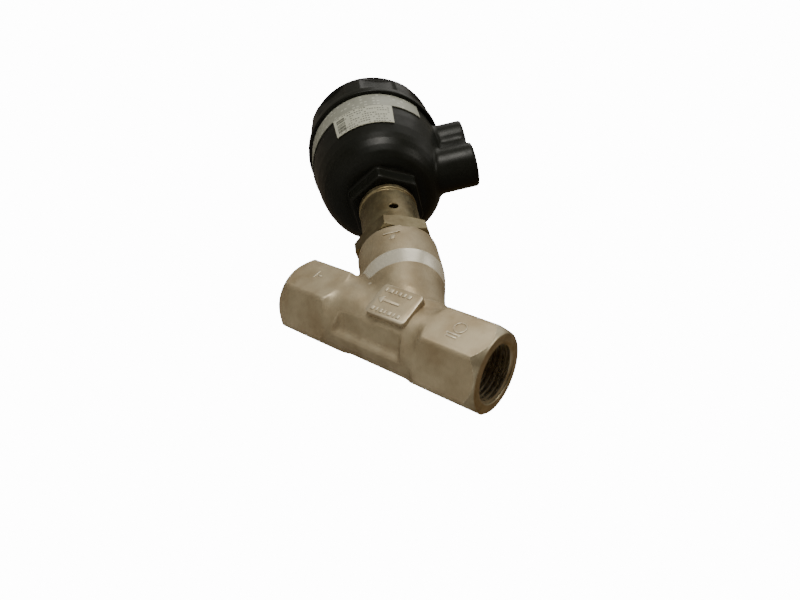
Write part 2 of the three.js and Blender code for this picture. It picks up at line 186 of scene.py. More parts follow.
def combined(bm, tools, operation):
    base = scratch(bm)
    for tool in tools:
        step = base.modifiers.new("combine", "BOOLEAN")
        step.operation = operation
        step.solver = "MANIFOLD"
        step.object = scratch(tool)
    return baked(base)


def remeshed(bm, size):
    base = scratch(bm)
    step = base.modifiers.new("voxels", "REMESH")
    step.mode = "VOXEL"
    step.voxel_size = size
    return baked(base)


def smoothed(bm, passes, verts=None, factor=0.5):
    for _ in range(passes):
        bmesh.ops.smooth_vert(bm, verts=verts or bm.verts, factor=factor, use_axis_x=True,
                              use_axis_y=True, use_axis_z=True)
    return bm


def finishPiece(name, bm, material, body, nodes=(), place=upAxis, sharp=35, weighted=True):
    bm.transform(toMetres @ place)
    mesh = bpy.data.meshes.new(name)
    bm.to_mesh(mesh)
    bm.free()
    mesh.shade_smooth()
    mesh.set_sharp_from_angle(angle=math.radians(sharp))
    piece = bpy.data.objects.new(name, mesh)
    bpy.context.scene.collection.objects.link(piece)
    for one in material if isinstance(material, (list, tuple)) else [material]:
        mesh.materials.append(one)
    if weighted:
        normals = piece.modifiers.new("normals", "WEIGHTED_NORMAL")
        normals.keep_sharp = True
        normals.weight = 50
    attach(piece, body)
    if nodes:
        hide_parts(*nodes)
    return piece


class Nodes:
    def __init__(self, name):
        self.material = bpy.data.materials.new(name)
        self.material.use_nodes = True
        self.tree = self.material.node_tree
        self.shader = self.tree.nodes["Principled BSDF"]
        self.coords = self.add("ShaderNodeTexCoord")

    def add(self, kind, settings=None, **inputs):
        node = self.tree.nodes.new(kind)
        for key, value in (settings or {}).items():
            setattr(node, key, value)
        for key, value in inputs.items():
            self.put(node, key, value)
        return node

    def put(self, node, key, value):
        numbered = key[0] == "i" and key[1:].isdigit()
        socket = node.inputs[int(key[1:]) if numbered else key]
        if isinstance(value, bpy.types.NodeSocket):
            self.tree.links.new(value, socket)
        else:
            socket.default_value = value

    def math(self, operation, first, second=0.0, third=0.0):
        return self.add("ShaderNodeMath", {"operation": operation}, i0=first, i1=second,
                        i2=third).outputs[0]

    def noise(self, vector, scale, detail=2.0, roughness=0.5):
        node = self.add("ShaderNodeTexNoise", Vector=vector, Scale=scale, Detail=detail,
                        Roughness=roughness)
        return node.outputs["Fac"]

    def ramp(self, value, low, high, toLow=0.0, toHigh=1.0, smooth=False):
        node = self.add("ShaderNodeMapRange",
                        {"interpolation_type": "SMOOTHSTEP" if smooth else "LINEAR"},
                        **{"Value": value, "From Min": low, "From Max": high, "To Min": toLow,
                           "To Max": toHigh})
        return node.outputs["Result"]

    def mix(self, amount, first, second):
        node = self.add("ShaderNodeMix", {"data_type": "RGBA"}, i0=amount, i6=first, i7=second)
        return node.outputs[2]

    def bump(self, height, strength, distance, normal=None):
        node = self.add("ShaderNodeBump", Height=height, Strength=strength, Distance=distance)
        if normal is not None:
            self.put(node, "Normal", normal)
        return node.outputs["Normal"]

    # Object coordinates turned into the tilted frame, in metres, with z up the actuator axis.
    def tilted(self):
        inverse = (Matrix.Translation(axisStart) @ tiltTurn).inverted()
        node = self.add("ShaderNodeMapping", Vector=self.coords.outputs["Object"])
        node.inputs["Location"].default_value = inverse.to_translation()
        node.inputs["Rotation"].default_value = inverse.to_euler("XYZ")
        return node.outputs["Vector"]

    def split(self, vector):
        return self.add("ShaderNodeSeparateXYZ", Vector=vector).outputs

    def shade(self, **sockets):
        for key, value in sockets.items():
            self.put(self.shader, key.replace("_", " "), value)
        return self.material


def rgb(red, green, blue):
    return (*[((c / 255 + 0.055) / 1.055) ** 2.4 if c > 10 else c / 255 / 12.92
              for c in (red, green, blue)], 1)


# Cast and blasted stainless steel, with the branch's one turned band left bright, and the sharp
# edges lightened in colour: partly edge wear, partly a painted highlight.
castLook = {
    "colour": rgb(176, 164, 138),
    "stain": rgb(150, 134, 106),
    # bright: the turned band's own colour, and also the colour of the painted highlight along the
    # sharp edges.
    "bright": rgb(244, 238, 220),
    "metallic": 0.7,
    "band": (0.0238, 0.0316),
    "bandRadius": (0.0138, 0.01615),
    "roughness": (0.46, 0.56),
    "bandRoughness": 0.26,
    "grain": 3200,
}


def castSteel(look):
    n = Nodes("castSteel")
    spot = n.coords.outputs["Object"]
    x, y, z = n.split(n.tilted())
    radius = n.math("SQRT", n.math("ADD", n.math("MULTIPLY", x, x), n.math("MULTIPLY", y, y)))
    low, high = look["band"]
    inner, outer = look["bandRadius"]
    band = n.math("MULTIPLY", n.ramp(z, low - 0.00012, low + 0.00012),
                  n.ramp(z, high - 0.00012, high + 0.00012, 1, 0))
    band = n.math("MULTIPLY", band, n.ramp(radius, outer, outer + 0.0004, 1, 0))
    band = n.math("MULTIPLY", band, n.math("GREATER_THAN", radius, inner))
    patches = n.ramp(n.noise(spot, 90, 3), 0.35, 0.7)
    fine = n.noise(spot, look["grain"], 3, 0.6)
    # Pointiness picks out the sharp edges. There the colour is pushed towards bright as a painted
    # highlight that also stands for wear, and the roughness drops where the edges are polished by
    # wear.
    wearAndHighlight = n.ramp(n.add("ShaderNodeNewGeometry").outputs["Pointiness"], 0.515, 0.57, 0, 0.4)
    colour = n.mix(patches, look["colour"], look["stain"])
    colour = n.mix(n.ramp(fine, 0.62, 0.75, 0, 0.35), colour, look["stain"])
    colour = n.mix(wearAndHighlight, colour, look["bright"])
    colour = n.mix(band, colour, look["bright"])
    rough = n.ramp(n.noise(spot, 500, 3), 0.3, 0.7, *look["roughness"])
    rough = n.math("SUBTRACT", rough, n.math("MULTIPLY", wearAndHighlight, 0.15))
    turnedRough = n.ramp(band, 0, 1, 0, 1)
    rough = n.math("ADD", n.math("MULTIPLY", rough, n.math("SUBTRACT", 1, turnedRough)),
                   n.math("MULTIPLY", turnedRough, look["bandRoughness"]))
    grain = n.math("MULTIPLY", fine, n.math("SUBTRACT", 1, band))
    lathe = n.add("ShaderNodeTexNoise", {"noise_dimensions": "1D"}, W=z, Scale=9000, Detail=2)
    grooves = n.math("MULTIPLY", lathe.outputs["Fac"], n.math("MULTIPLY", band, 0.12))
    normal = n.bump(n.math("ADD", grain, grooves), 0.35, 0.00007)
    normal = n.bump(n.noise(spot, 260, 2), 0.25, 0.0002, normal)
    return n.shade(Base_Color=colour, Metallic=look["metallic"], Roughness=rough, Normal=normal)


# Turned steel with fine rings about the actuator's axis or the pipe's.
def turnedSteel(name, colour, stain, roughness, about="actuator", rings=2500):
    n = Nodes(name)
    spot = n.coords.outputs["Object"]
    along = n.split(n.tilted())[2] if about == "actuator" else n.split(spot)[0]
    lathe = n.add("ShaderNodeTexNoise", {"noise_dimensions": "1D"}, W=along, Scale=rings, Detail=3)
    smear = n.noise(spot, 140, 3)
    base = n.mix(n.ramp(smear, 0.35, 0.75), colour, stain)
    base = n.mix(n.ramp(lathe.outputs["Fac"], 0.3, 0.8, 0, 0.25), base, stain)
    rough = n.ramp(n.noise(spot, 420, 3), 0.3, 0.7, roughness - 0.05, roughness + 0.08)
    normal = n.bump(lathe.outputs["Fac"], 0.3, 0.00004)
    normal = n.bump(n.noise(spot, 2600, 2), 0.12, 0.00004, normal)
    return n.shade(Base_Color=base, Metallic=1.0, Roughness=rough, Normal=normal)


# Moulded plastic and rubber: fine grain, dull dust and softly uneven gloss.
def moulded(name, colour, dust, roughness, grain=2400, bump=0.2, dustAmount=0.35, gloss=0.5):
    n = Nodes(name)
    spot = n.coords.outputs["Object"]
    fine = n.noise(spot, grain, 3, 0.6)
    cloud = n.ramp(n.noise(spot, 70, 4, 0.6), 0.42, 0.78, 0, dustAmount)
    specks = n.ramp(n.noise(spot, 1500, 2), 0.68, 0.74, 0, dustAmount)
    base = n.mix(n.math("MAXIMUM", cloud, specks), colour, dust)
    rough = n.ramp(n.noise(spot, 180, 3), 0.3, 0.7, roughness - 0.05, roughness + 0.07)
    normal = n.bump(fine, bump, 0.00005)
    normal = n.bump(n.noise(spot, 120, 2), 0.12, 0.0002, normal)
    return n.shade(Base_Color=base, Roughness=rough, Normal=normal, Specular_IOR_Level=gloss)


# Printed foil. Cells of the label's own UV map carry rows of plain bars in place of words.
def foil(name, paper, ink, columns, rows, share, blankBelow=0.0, metallic=0.0, block=None):
    n = Nodes(name)
    u, v, _ = n.split(n.add("ShaderNodeUVMap", {"uv_map": "label"}).outputs["UV"])
    cellU, cellV = n.math("MULTIPLY", u, columns), n.math("MULTIPLY", v, rows)
    spot = n.add("ShaderNodeCombineXYZ", i0=n.math("FLOOR", cellU), i1=n.math("FLOOR", cellV))
    chance = n.add("ShaderNodeTexWhiteNoise", {"noise_dimensions": "2D"},
                   Vector=spot.outputs[0]).outputs["Value"]
    inRow = n.math("FRACT", cellV)
    rowMask = n.math("MULTIPLY", n.math("GREATER_THAN", inRow, 0.3),
                     n.math("LESS_THAN", inRow, 0.72))
    inCell = n.math("FRACT", cellU)
    cellMask = n.math("LESS_THAN", inCell, n.ramp(chance, 0, 1, 0.55, 0.95))
    ink1 = n.math("MULTIPLY", rowMask, n.math("MULTIPLY", cellMask,
                                              n.math("LESS_THAN", chance, share)))
    margin = n.math("MULTIPLY", n.math("GREATER_THAN", u, 0.05), n.math("LESS_THAN", u, 0.96))
    margin = n.math("MULTIPLY", margin, n.math("GREATER_THAN", v, blankBelow))
    printed = n.math("MULTIPLY", ink1, margin)
    if block:
        left, right, bottom, top = block
        inside = n.math("MULTIPLY", n.math("GREATER_THAN", u, left), n.math("LESS_THAN", u, right))
        inside = n.math("MULTIPLY", inside, n.math("GREATER_THAN", v, bottom))
        inside = n.math("MULTIPLY", inside, n.math("LESS_THAN", v, top))
        stripe = n.add("ShaderNodeTexWhiteNoise", {"noise_dimensions": "1D"},
                       W=n.math("FLOOR", n.math("MULTIPLY", v, 46))).outputs["Value"]
        bars = n.math("MULTIPLY", inside, n.math("GREATER_THAN", stripe, 0.3))
        printed = n.math("MAXIMUM", n.math("MULTIPLY", printed, n.math("SUBTRACT", 1, inside)),
                         bars)
    place = n.coords.outputs["Object"]
    wearAndHighlight = n.ramp(n.noise(place, 260, 4, 0.6), 0.4, 0.75, 0, 0.3)
    base = n.mix(wearAndHighlight, paper, [c * 0.72 for c in paper[:3]] + [1])
    base = n.mix(n.math("MULTIPLY", printed, n.ramp(n.noise(place, 900), 0.3, 0.6, 0.5, 0.95)),
                 base, ink)
    rough = n.ramp(n.noise(place, 300, 3), 0.3, 0.7, 0.36, 0.52)
    normal = n.bump(n.noise(place, 500, 3), 0.12, 0.00006)
    return n.shade(Base_Color=base, Roughness=rough, Normal=normal, Metallic=metallic)


def clearPlastic():
    n = Nodes("clearPlastic")
    spot = n.coords.outputs["Object"]
    rough = n.ramp(n.noise(spot, 200, 3), 0.3, 0.7, 0.04, 0.12)
    tint = n.mix(n.noise(spot, 60), rgb(236, 240, 240), rgb(222, 230, 230))
    normal = n.bump(n.noise(spot, 350, 2), 0.08, 0.0001)
    return n.shade(Base_Color=tint, Roughness=rough, Normal=normal, Transmission_Weight=1.0,
                   IOR=1.5)


cast = castSteel(castLook)
machined = turnedSteel("machinedSteel", rgb(190, 182, 158), rgb(156, 146, 120), 0.38, "pipe")
neckSteel = turnedSteel("neckSteel", rgb(146, 136, 106), rgb(110, 96, 68), 0.4)
springSteel = turnedSteel("springSteel", rgb(150, 150, 150), rgb(96, 94, 92), 0.34, rings=900)
brass = turnedSteel("brass", rgb(206, 176, 110), rgb(160, 128, 70), 0.3)
blackPlastic = moulded("blackPlastic", rgb(17, 18, 14), rgb(36, 35, 29), 0.37, dustAmount=0.12,
                       gloss=0.16)
greyPlastic = moulded("greyPlastic", rgb(112, 116, 118), rgb(140, 142, 142), 0.45)
redPlastic = moulded("redPlastic", rgb(196, 66, 22), rgb(214, 96, 52), 0.38)
rubber = moulded("blackRubber", rgb(24, 24, 24), rgb(60, 60, 60), 0.62, bump=0.35)
ptfe = moulded("ptfe", rgb(226, 224, 214), rgb(196, 192, 180), 0.42, grain=1600)
graphite = moulded("graphite", rgb(70, 70, 72), rgb(104, 104, 106), 0.4, grain=3000, bump=0.4)
bandFoil = foil("bandFoil", rgb(150, 152, 141), rgb(186, 188, 176), 80, 4, 0.30, metallic=0.3)
typeFoil = foil("typeFoil", rgb(172, 174, 160), rgb(62, 64, 58), 24, 8, 0.62,
                block=(0.05, 0.2, 0.12, 0.88))
clear = clearPlastic()
print("materials made")


# The investment-cast valve body.
castBody = {
    "halfLength": 42.5,
    "hexFlats": 27,
    "hexInner": [(0, 18.5), (13.3, 18.5), (15.69, 21.2), (15.69, 44), (0, 44)],
    "endCone": (13.1, 0.74),  # radius at the end face, and how much it widens each millimetre
    "middleRadius": 13.5,
    "branch": [(0, -2), (11.5, -2), (13.3, 0), (14.9, 5), (15.6, 10), (15.9, 17), (16, 24),
               (16, 47.6), (0, 47.6)],
    "narrowing": (0.18, 14, 34),  # of the branch towards the inlet: how much, from and to where
    "voxel": 0.5,
    "filletWidth": 4.5,
    "filletPasses": 140,
    "threadPitch": 1.814,
    "plateCorners": ((-3, -15, 0), (13.4, -10, 12.7)),
    "plateTilt": 7.7,
    "seatRadius": 6.75,
    "bonnetBore": [(0, 1.5), (11, 1.5), (11, 27), (12.6, 28.6), (12.6, 46.4), (14.2, 46.4),
                   (14.2, 49), (0, 49)],
}


def notch(side):
    floorTurn = math.radians(66)  # from the side towards the underside
    section = [(11.5, 0, 13), (13.6, -2, 16.2), (18, -6, 17.6), (18, 12, 17.6), (11.5, 12, 13)]
    bm = bmesh.new()
    near = [bm.verts.new((-length, -out, up)) for out, up, length in section]
    bm.faces.new(near)
    grown = bmesh.ops.extrude_face_region(bm, geom=bm.faces[:])["geom"]
    for vert in (v for v in grown if isinstance(v, bmesh.types.BMVert)):
        vert.co.x = -vert.co.x
    bmesh.ops.triangulate(bm, faces=bm.faces)
    bmesh.ops.recalc_face_normals(bm, faces=bm.faces)
    bm.transform(Matrix.Rotation(side, 4, "Z") @ Matrix.Rotation(floorTurn, 4, "X"))
    return bm


def branchRadiusAt(height, outline):
    for (r0, h0), (r1, h1) in zip(outline[1:], outline[2:]):
        if h0 <= height <= h1 and h1 > h0:
            return r0 + (r1 - r0) * (height - h0) / (h1 - h0)
    return outline[-2][0]


def barDistance(spot, body):
    if abs(spot.x) < 20:
        return math.hypot(spot.y, spot.z) - body["middleRadius"]
    return max(abs(spot.y), abs(spot.y) / 2 + abs(spot.z) * math.sqrt(3) / 2) - body["hexFlats"] / 2


def castOutside(body):
    middle = moved(disc(body["middleRadius"], -20, 20, 128), alongPipe)
    ends = []
    for side in (0, math.pi):
        blank = hexPrism(body["hexFlats"], 17, body["halfLength"] + 1.5, edge=0.5)
        end = combined(blank, [turned(body["hexInner"], 96, rounding=0.3)], "INTERSECT")
        ends.append(moved(end, alongPipe @ Matrix.Rotation(side, 4, "X")))
    branch = moved(turned(body["branch"], 128, rounding=0.3), upAxis)
    whole = combined(middle, [*ends, branch], "UNION")
    whole = combined(whole, [notch(0), notch(math.pi)], "DIFFERENCE")
    whole = smoothed(remeshed(whole, body["voxel"]), 3)
    toTilt = upAxis.inverted()
    filletSteps = ((body["filletWidth"], 50), (body["filletWidth"] - 1, body["filletPasses"] - 50))
    for width, passes in filletSteps:
        zone = []
        for vert in whole.verts:
            local = toTilt @ vert.co
            outline = branchRadiusAt(local.z, body["branch"])
            offBranch = math.hypot(local.x, local.y) - outline
            offBar = barDistance(vert.co, body)
            if local.z > 1 and offBranch > -1 and max(offBranch, 0) + max(offBar, 0) < width:
                zone.append(vert)
        smoothed(whole, passes, zone)
    for vert in whole.verts:
        snapCast(vert, toTilt, body)
        narrow(vert, toTilt, body)
    valley = [vert for vert in whole.verts if 16.6 < abs(vert.co.x) < 19.8]
    smoothed(whole, 25, [vert for vert in valley if (toTilt @ vert.co).z < 0 or vert.co.x < 0])
    return smoothed(whole, 1, factor=0.3)


# The branch narrows on its inlet side as it runs into the bar.
def narrow(vert, toTilt, body):
    local = toTilt @ vert.co
    share, low, high = body["narrowing"]
    clear = smoothStep(barDistance(vert.co, body), 0, 3)
    if local.x > 0 and local.z > 5 and clear:
        local.x *= 1 - share * clear * (1 - smoothStep(local.z, low, high))
        vert.co = upAxis @ local


def smoothStep(value, low, high):
    share = min(max((value - low) / (high - low), 0), 1)
    return share * share * (3 - 2 * share)


# Puts the flats of the hexagons and the branch's round side back where they belong.
def snapCast(vert, toTilt, body):
    spot = vert.co
    flat = body["hexFlats"] / 2
    if abs(spot.x) > 21.5:
        for turn in range(6):
            out = Vector((0, math.cos(turn * fullTurn / 6), math.sin(turn * fullTurn / 6)))
            across = abs(out.cross(spot).x)
            if abs(out.dot(spot) - flat) < 0.3 and across < 7.1:
                vert.co = spot + out * (flat - out.dot(spot))
                return
    local = toTilt @ spot
    radius = math.hypot(local.x, local.y)
    wanted = branchRadiusAt(local.z, body["branch"])
    clearOfBar = barDistance(spot, body) > body["filletWidth"] - 0.4
    if 3 < local.z < 46.8 and abs(radius - wanted) < 0.35 and clearOfBar:
        vert.co = spot + upAxis.to_3x3() @ Vector((local.x, local.y, 0)) * (wanted / radius - 1)


def threadTool(body):
    pitch, steps, turns = body["threadPitch"], 72, 10
    bm = bmesh.new()
    section = [(9.1, 0), (9.1, 1.5), (9.5, 1.3), (10.42, 0.83), (10.42, 0.67), (9.5, 0.2)]
    verts = [bm.verts.new((radius, 0, 26.4 + height)) for radius, height in section]
    face = bm.faces.new(verts)
    bmesh.ops.spin(bm, geom=[face], cent=(0, 0, 0), axis=(0, 0, 1), angle=fullTurn * turns,
                   dvec=(0, 0, pitch / steps), steps=steps * turns, use_merge=False)
    bmesh.ops.recalc_face_normals(bm, faces=bm.faces)
    return bm


def socketTool(body):
    core = turned([(0, 22), (7.75, 25), (7.75, 25.6), (9.4, 27), (9.4, 41.7), (10.75, 42.9),
                   (10.75, 44), (0, 44)], 72, rounding=0.05)
    return combined(core, [threadTool(body)], "UNION")


def pipeBore(wall, keepBelow):
    bm = moved(disc(7.75, -28, 28, 48), alongPipe)
    point = axisStart * 1000 + strokeAxis * wall
    cut = bmesh.ops.bisect_plane(bm, geom=bm.verts[:] + bm.edges[:] + bm.faces[:],
                                 plane_co=point, plane_no=strokeAxis,
                                 clear_outer=keepBelow, clear_inner=not keepBelow)
    rim = [e for e in cut["geom_cut"] if isinstance(e, bmesh.types.BMEdge)]
    bmesh.ops.contextual_create(bm, geom=rim)
    return cleaned(bm)


def endTrim(body):
    start, slope = body["endCone"]
    end, beyond = body["halfLength"], 20
    outer = end - (beyond - start) / slope
    return turned([(0, end), (start, end), (beyond, outer), (beyond, 46), (0, 46)], 128,
                  rounding=0.35)


def sidePlate(body, side):
    plate = box(*body["plateCorners"])
    deep = [e for e in plate.edges if abs(e.verts[0].co.y - e.verts[1].co.y) > 1]
    bevelEdges(plate, deep, 1.6, 4)
    front = [e for e in plate.edges if all(v.co.y < -14.9 for v in e.verts)]
    bevelEdges(plate, front, 0.3, 2)
    tilt = Matrix.Rotation(math.radians(body["plateTilt"]), 4, "X")
    lean = Matrix.Translation((0, -14.2, -6.3)) @ tilt @ Matrix.Translation((0, 15, 0))
    pieces = [moved(plate, lean)]
    for mark in plateMarks():
        pieces.append(moved(mark, lean))
    for piece in pieces:
        if side > 0:
            piece.transform(Matrix.Scale(-1, 4, (0, 1, 0)))
            bmesh.ops.recalc_face_normals(piece, faces=piece.faces)
    return pieces


# Plain raised bars and a flow arrow stand where the maker's words would be.
def plateMarks():
    marks = []
    rows = {1.3: (1.4, 0.7, 1.1, 0.7, 1.4, 0.8, 1.2), 9.6: (1, 1.6, 0.8, 1.2, 1, 1.5)}
    for row, lengths in rows.items():
        start = -1.2
        for length in lengths:
            marks.append(box((start, -15.28, row), (start + length, -14.5, row + 1.5), 0.12))
            start += length + 0.75
    marks.append(box((0.5, -15.28, 5.7), (7.5, -14.5, 6.7), 0.12))
    arrow = bmesh.new()
    tip = [arrow.verts.new(c) for c in ((-1.4, -14.5, 6.2), (0.9, -14.5, 4.6), (0.9, -14.5, 7.8))]
    arrow.faces.new(tip)
    grown = bmesh.ops.extrude_face_region(arrow, geom=arrow.faces[:])["geom"]
    bmesh.ops.translate(arrow, vec=(0, -0.78, 0),
                        verts=[v for v in grown if isinstance(v, bmesh.types.BMVert)])
    bmesh.ops.recalc_face_normals(arrow, faces=arrow.faces)
    bevelEdges(arrow, arrow.edges[:], 0.1, 2)
    marks.append(arrow)
    return marks


def ringMark(place, radius, width, proud):
    ring = turned(ringPoints(radius - width, radius, -1, proud), 32, closed=True, rounding=0.1)
    return moved(ring, place)


def endMarks():
    facing = Matrix.Rotation(math.pi / 2, 4, "X")  # z becomes -y
    marks = [ringMark(Matrix.Translation((30.2, -13.5, 1.2)) @ facing, 2.3, 0.5, 0.22)]
    for height in (-2.2, -3.4):
        marks.append(box((27.6, -13.72, height), (31.4, -13, height + 0.55), 0.1))
    marks.append(box((-32.4, -13.72, -0.6), (-31.8, -13, 3.2), 0.1))
    marks.append(box((-31.2, -13.72, 0.8), (-29.6, -13, 1.4), 0.1))
    stamp = [box((-3.2, -16.22, 42.2), (3.2, -15.2, 42.9), 0.1),
             box((-0.8, -16.22, 38.6), (0.8, -15.2, 40.8), 0.2)]
    return marks + [moved(mark, upAxis) for mark in stamp]


def machinedFace(face, toTilt, body):
    spot = face.calc_center_median()
    start, slope = body["endCone"]
    end = abs(spot.x)
    fromPipe = math.hypot(spot.y, spot.z)
    if end > body["halfLength"] - 0.3 or (end > 24 and fromPipe < 11.2):
        return True
    if end > 34 and fromPipe > start + (body["halfLength"] - end) * slope - 0.12:
        return True
    local = toTilt @ spot
    fromAxis = math.hypot(local.x, local.y)
    return fromAxis < 12.8 and local.z > 12 or fromAxis < 14.4 and local.z > 46 or local.z > 47.5


def makeCastBody(body):
    whole = castOutside(body)
    bonnetBore = turned(body["bonnetBore"], 96, rounding=0.1)
    flip = Matrix.Rotation(math.pi, 4, "X")
    tools = [moved(tool, alongPipe @ turn) for turn in (Matrix.Identity(4), flip)
             for tool in (endTrim(body), socketTool(body))]
    tools += [moved(bonnetBore, upAxis), moved(disc(body["seatRadius"], -4, 3), upAxis),
              pipeBore(-1.2, True), pipeBore(1.5, False),
              moved(turned([(0, 47.6), (20, 47.6), (20, 50), (0, 50)], 96), upAxis)]
    added = sidePlate(body, -1) + sidePlate(body, 1) + endMarks()
    whole = combined(whole, added, "UNION")
    whole = combined(whole, tools, "DIFFERENCE")
    lip = turned(ringPoints(body["seatRadius"], 8.1, 1, 2), 64, closed=True, rounding=0.2)
    lip = moved(lip, upAxis)
    whole = combined(whole, [lip], "UNION")
    toTilt = upAxis.inverted()
    for face in whole.faces:
        face.material_index = int(machinedFace(face, toTilt, body))
    return finishPiece("cast_body", whole, [cast, machined], "pipe_body",
                       ["valve_body"], Matrix.Identity(4), sharp=32, weighted=False)


makeCastBody(castBody)
print("cast body made")


# The screwed-in bonnet with its neck.
bonnetForm = {
    "hexFlats": 29.8,
    "hexTurn": math.radians(24),
    "outside": [(0, 36), (11.9, 36), (12.3, 36.5), (12.3, 48.9), (12.6, 48.9), (12.6, 80.7),
                (12, 81), (12, 81.8), (12.85, 82.3), (12.85, 84.8), (11, 84.8), (11, 89.6),
                (9.4, 89.6), (9.4, 92.6), (11, 92.6), (11, 96.4), (10.2, 96.4), (10.2, 97.9),
                (11, 97.9), (11, 99.4), (0, 99.4)],
    "inside": [(0, 35), (8, 35), (8, 59.5), (5.6, 59.5), (5.6, 62), (10.3, 63.5), (10.3, 79.5),
               (7, 81.2), (7, 82.6), (8.3, 82.6), (8.3, 100), (0, 100)],
    "hexEnvelope": [(0, 47.9), (16, 47.9), (17.2, 48.7), (17.2, 54.2), (15, 55.4), (0, 55.4)],
    "weepHole": (1.9, 67, math.radians(14)),
}


def makeBonnet(form):
    blank = hexPrism(form["hexFlats"], 47, 56, form["hexTurn"], 0.3)
    collar = combined(blank, [turned(form["hexEnvelope"], 96, rounding=0.25)], "INTERSECT")
    tube = turned(form["outside"], 96)
    radius, height, turn = form["weepHole"]
    hole = turned([(0, 5), (radius, 5), (radius, 12.3), (radius + 0.5, 12.8), (radius + 0.5, 15),
                   (0, 15)], 40, rounding=0.05)
    aim = Matrix.Translation((0, 0, height)) @ Matrix.Rotation(turn, 4, "Z")
    moved(hole, aim @ Matrix.Rotation(math.pi / 2, 4, "X"))
    whole = combined(tube, [collar], "UNION")
    whole = combined(whole, [turned(form["inside"], 72), hole], "DIFFERENCE")
    finishPiece("bonnet_neck", whole, neckSteel, "pipe_body", ["bonnet"])


makeBonnet(bonnetForm)
print("bonnet made")


# The actuator's bowl with its two pilot bosses and the hub round the neck.
bowl = {
    "outside": [(0, 85.1), (12, 85.1), (14.4, 85.1), (14.6, 92.4), (18.6, 92.5), (21.4, 93.6),
                (23.6, 95.2), (25.6, 97.6), (27.2, 100.4), (28.4, 103.9), (29.8, 109.8),
                (31.1, 118.3), (31.9, 125.2), (31.9, 137.6), (31.9, 145), (0, 145)],
    "hub": (29.9, 85.1, 94, math.radians(29)),
    "bossRadius": 10.4,
    "bossReach": 44.8,
    "portHeights": (106.8, 131.8),
    "voxel": 0.5,
    "inside": [(0, 80), (11.3, 80), (11.3, 96.2), (14.8, 96.2), (14.8, 93.9), (20, 95.9),
               (22.6, 98.5), (25.2, 104), (25.2, 150), (0, 150)],
}


def alongPort(bm, height):
    return moved(bm, Matrix.Translation((0, 0, height)) @ alongPipe)


def outlineRadius(outline, height):
    for (r0, h0), (r1, h1) in zip(outline[4:], outline[5:]):
        if h0 <= height <= h1:
            return r0 + (r1 - r0) * (height - h0) / (h1 - h0)
    return 0


def makeBowl(form):
    shell = turned(form["outside"], 160, rounding=1.6)
    flats, low, high, turn = form["hub"]
    hub = hexPrism(flats, low, high, turn, 0.8)
    hub = combined(hub, [turned([(0, low), (15.9, low), (17.4, low + 1.2), (17.4, high),
                                 (0, high)], 96, rounding=0.2)], "INTERSECT")
    radius, reach = form["bossRadius"], form["bossReach"]
    bosses = [alongPort(turned([(0, 15), (radius, 15), (radius, reach), (0, reach)], 96,
                               rounding=1.1), height) for height in form["portHeights"]]
    web = box((20, -6, form["portHeights"][0]), (reach - 0.9, 6, form["portHeights"][1]))
    block = combined(bosses[0], [bosses[1], web], "UNION")
    rim = turned([(0, 137.6), (34.5, 137.6), (34.5, 150), (0, 150)], 96, rounding=0.3)
    block = combined(block, [rim], "DIFFERENCE")
    whole = combined(shell, [hub, block], "UNION")
    whole = smoothed(remeshed(whole, form["voxel"]), 2)
    zone = []
    for vert in whole.verts:
        x, y, z = vert.co
        wall = math.hypot(x, y) - outlineRadius(form["outside"], z)
        fromAxis = min(math.hypot(y, z - height) for height in form["portHeights"])
        valley = abs(y) < 9 and abs(z - sum(form["portHeights"]) / 2) < 6
        if x > 12 and wall > -0.5 and wall < 2.4 and z > 95 and fromAxis < radius + 2.4:
            zone.append(vert)
        elif x > 30 and valley and x < reach - 1.5:
            zone.append(vert)
    smoothed(whole, 40, zone)
    smoothing = set(zone)
    for vert in whole.verts:
        if vert not in smoothing:
            snapBowl(vert, form)
    top = turned([(0, 144), (60, 144), (60, 160), (0, 160)], 96)
    groove = turned(ringPoints(28, 31, 140, 141.9), 96, True, 0.05)
    inside = turned(form["inside"], 96, rounding=0.4)
    ports = [alongPort(disc(8.3, 34.8, 50, 48), height) for height in form["portHeights"]]
    ways = [moved(disc(1.6, 20, 36, 24), Matrix.Translation((0, 0, 102.8)) @ alongPipe),
            moved(disc(1.6, 22, 36, 24), Matrix.Translation((0, 0, form["portHeights"][1]))
                  @ alongPipe)]
    whole = combined(whole, [rimRoom()], "DIFFERENCE")
    whole = combined(whole, [top, inside, groove, *ports, *ways], "DIFFERENCE")
    finishPiece("bowl_housing", whole, blackPlastic, "actuator",
                ["lower_housing"], sharp=38, weighted=False)


# Clears the spigot and the room for the cover's rim above the joint.
def rimRoom():
    return turned(ringPoints(29.5, 34.5, 137.6, 160), 128, True, 0.05)


def snapBowl(vert, form):
    x, y, z = vert.co
    around = math.hypot(x, y)
    wanted = outlineRadius(form["outside"], z)
    inBlock = x > 24 and abs(y) < form["bossRadius"] + 3
    if wanted and z > 96 and z < 144 and abs(around - wanted) < 0.4 and not inBlock:
        vert.co.x, vert.co.y = x * wanted / around, y * wanted / around
        return
    for height in form["portHeights"]:
        fromAxis = math.hypot(y, z - height)
        if inBlock and x < form["bossReach"] - 1.3 and abs(fromAxis - form["bossRadius"]) < 0.3:
            share = form["bossRadius"] / fromAxis
            vert.co.y, vert.co.z = y * share, height + (z - height) * share
            return


makeBowl(bowl)
print("bowl made")


# The screwed-on cover, with flat grips sunk into its side.
coverForm = {
    "gripCount": 8,
    "firstGrip": math.radians(-73.3),
    "gripDistance": 31.3,
    "gripHalfAngle": math.radians(14.9),
    "gripHeights": (143.7, 159.2),
    "outside": [(30, 144.4), (30, 137.9), (33.7, 137.9), (33.98, 138.4), (33.98, 142.3),
                (33.4, 142.9), (33.3, 157.5), (31.8, 161.4), (29, 162.9), (27, 162)],
    "inside": [(13, 162), (12.9, 163.6), (12.2, 163.6), (12.2, 162.8), (7.9, 162.8),
               (7.9, 154.5), (9.4, 154.5), (9.4, 158), (27.3, 158), (27.3, 146)],
}


